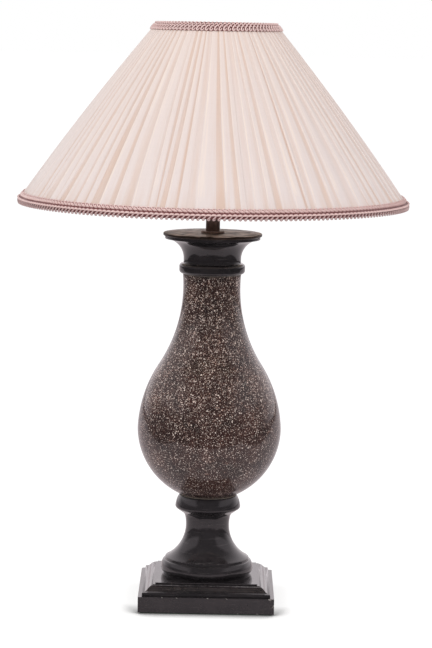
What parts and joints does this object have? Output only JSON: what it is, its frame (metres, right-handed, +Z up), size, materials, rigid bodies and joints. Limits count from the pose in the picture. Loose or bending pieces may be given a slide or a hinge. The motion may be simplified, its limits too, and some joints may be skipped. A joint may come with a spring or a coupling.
{
  "type": "column table lamp",
  "caption": "Pear-shaped speckled column lamp on a waisted foot and moulded square plinth, with a wide conical pleated shade on a tilting gimbal.",
  "frame": {"origin": "centre of the underside of the baize, on the surface the lamp stands on", "axes": "+Z up the column, +X to the right and -Y towards the front of the plinth"},
  "size_m": [0.4642, 0.4642, 0.6929],
  "materials": {
    "baize": "matt woven baize",
    "black_stone": "polished, with worn and chipped edges",
    "speckled_body": "brown-black ground with dense cream specks under gloss",
    "bronze": "dark patinated bronze",
    "brass": "aged brass",
    "steel": "bright zinc",
    "pad": "pressed felt",
    "disc_wood": "plain turned wood",
    "bush_plastic": "moulded",
    "bakelite": "dark moulded resin",
    "porcelain": "white porcelain",
    "bulb_glass": "pearl frosted",
    "clear_glass": "clear",
    "bulb_metal": "bright rolled",
    "solder": "tinned",
    "filament": "tungsten wire",
    "frame_enamel": "ivory coated wire",
    "silk": "pleated silk",
    "lining": "plain silk lining",
    "braid": "looped gimp braid"
  },
  "bodies": {
    "column": {"base_felt": "baize", "plinth": "black_stone", "cord_bush": "bush_plastic", "base_washer": "steel", "spring_washer": "steel", "base_nut": "brass", "lamp_rod": "steel", "socle": "black_stone", "body_collar": "black_stone", "lower_gasket": "pad", "vase_body": "speckled_body", "lower_centring_disc": "disc_wood", "upper_centring_disc": "disc_wood", "neck_gasket": "pad", "neck_mount": "black_stone", "cap_plate": "bronze", "stem_flange": "bronze", "riser_tube": "bronze", "holder_cap": "brass", "shell_locking_ring": "brass", "switch_block": "bakelite", "holder_insulator": "porcelain", "holder_shell": "brass", "lower_shade_ring": "brass", "upper_shade_ring": "brass", "plunger_spring_right": "steel", "plunger_spring_left": "steel", "holder_terminals": "brass"},
    "switch": {"switch_bar": "bakelite", "switch_contact": "brass"},
    "right_plunger": {"plunger_right": "brass"},
    "left_plunger": {"plunger_left": "brass"},
    "bulb": {"bulb_contacts": "solder", "bulb_pins": "bulb_metal", "bulb_base_insulator": "bakelite", "bulb_cap": "bulb_metal", "bulb_envelope": "bulb_glass", "bulb_stem": "clear_glass", "bulb_filament": "filament"},
    "carrier": {"carrier_ring": "brass", "carrier_arm_right": "brass", "carrier_arm_left": "brass", "carrier_top": "brass"},
    "gimbal": {"gimbal_ring": "frame_enamel", "gimbal_arm_right": "frame_enamel", "gimbal_arm_left": "frame_enamel", "gimbal_pins": "steel"},
    "shade": {"gimbal_lugs": "frame_enamel", "shade_top_ring": "frame_enamel", "shade_bottom_ring": "frame_enamel", "shade_ribs": "frame_enamel", "shade_cover": "silk", "shade_lining": "lining", "top_trim": "braid", "bottom_braid": "braid", "bottom_loop_trim": "braid"}
  },
  "joints": [
    {"name": "carrier_turn", "type": "hinge", "parent": "column", "child": "carrier", "pos_m": [0, 0, 0.512], "axis": [0, 0, 1], "continuous": true},
    {"name": "shade_lift", "type": "slide", "parent": "carrier", "child": "gimbal", "axis": [0, 0, 1], "range_m": [0, 0.2]},
    {"name": "shade_tilt", "type": "hinge", "parent": "gimbal", "child": "shade", "pos_m": [0, 0, 0.681], "axis": [1, 0, 0], "range_deg": [-15, 15]},
    {"name": "switch_push", "type": "slide", "parent": "column", "child": "switch", "axis": [-1, 0, 0], "range_m": [0, 0.006]},
    {"name": "bulb_twist", "type": "hinge", "parent": "column", "child": "bulb", "pos_m": [0, 0, 0.56], "axis": [0, 0, 1], "range_deg": [0, 17]},
    {"name": "right_plunger_press", "type": "slide", "parent": "column", "child": "right_plunger", "axis": [0, 0, 1], "range_m": [-0.0025, 0], "stiffness_N_per_m": 300, "springref_m": 0.004, "deforming": ["plunger_spring_right"]},
    {"name": "left_plunger_press", "type": "slide", "parent": "column", "child": "left_plunger", "axis": [0, 0, 1], "range_m": [-0.0025, 0], "stiffness_N_per_m": 300, "springref_m": 0.004, "deforming": ["plunger_spring_left"]}
  ]
}
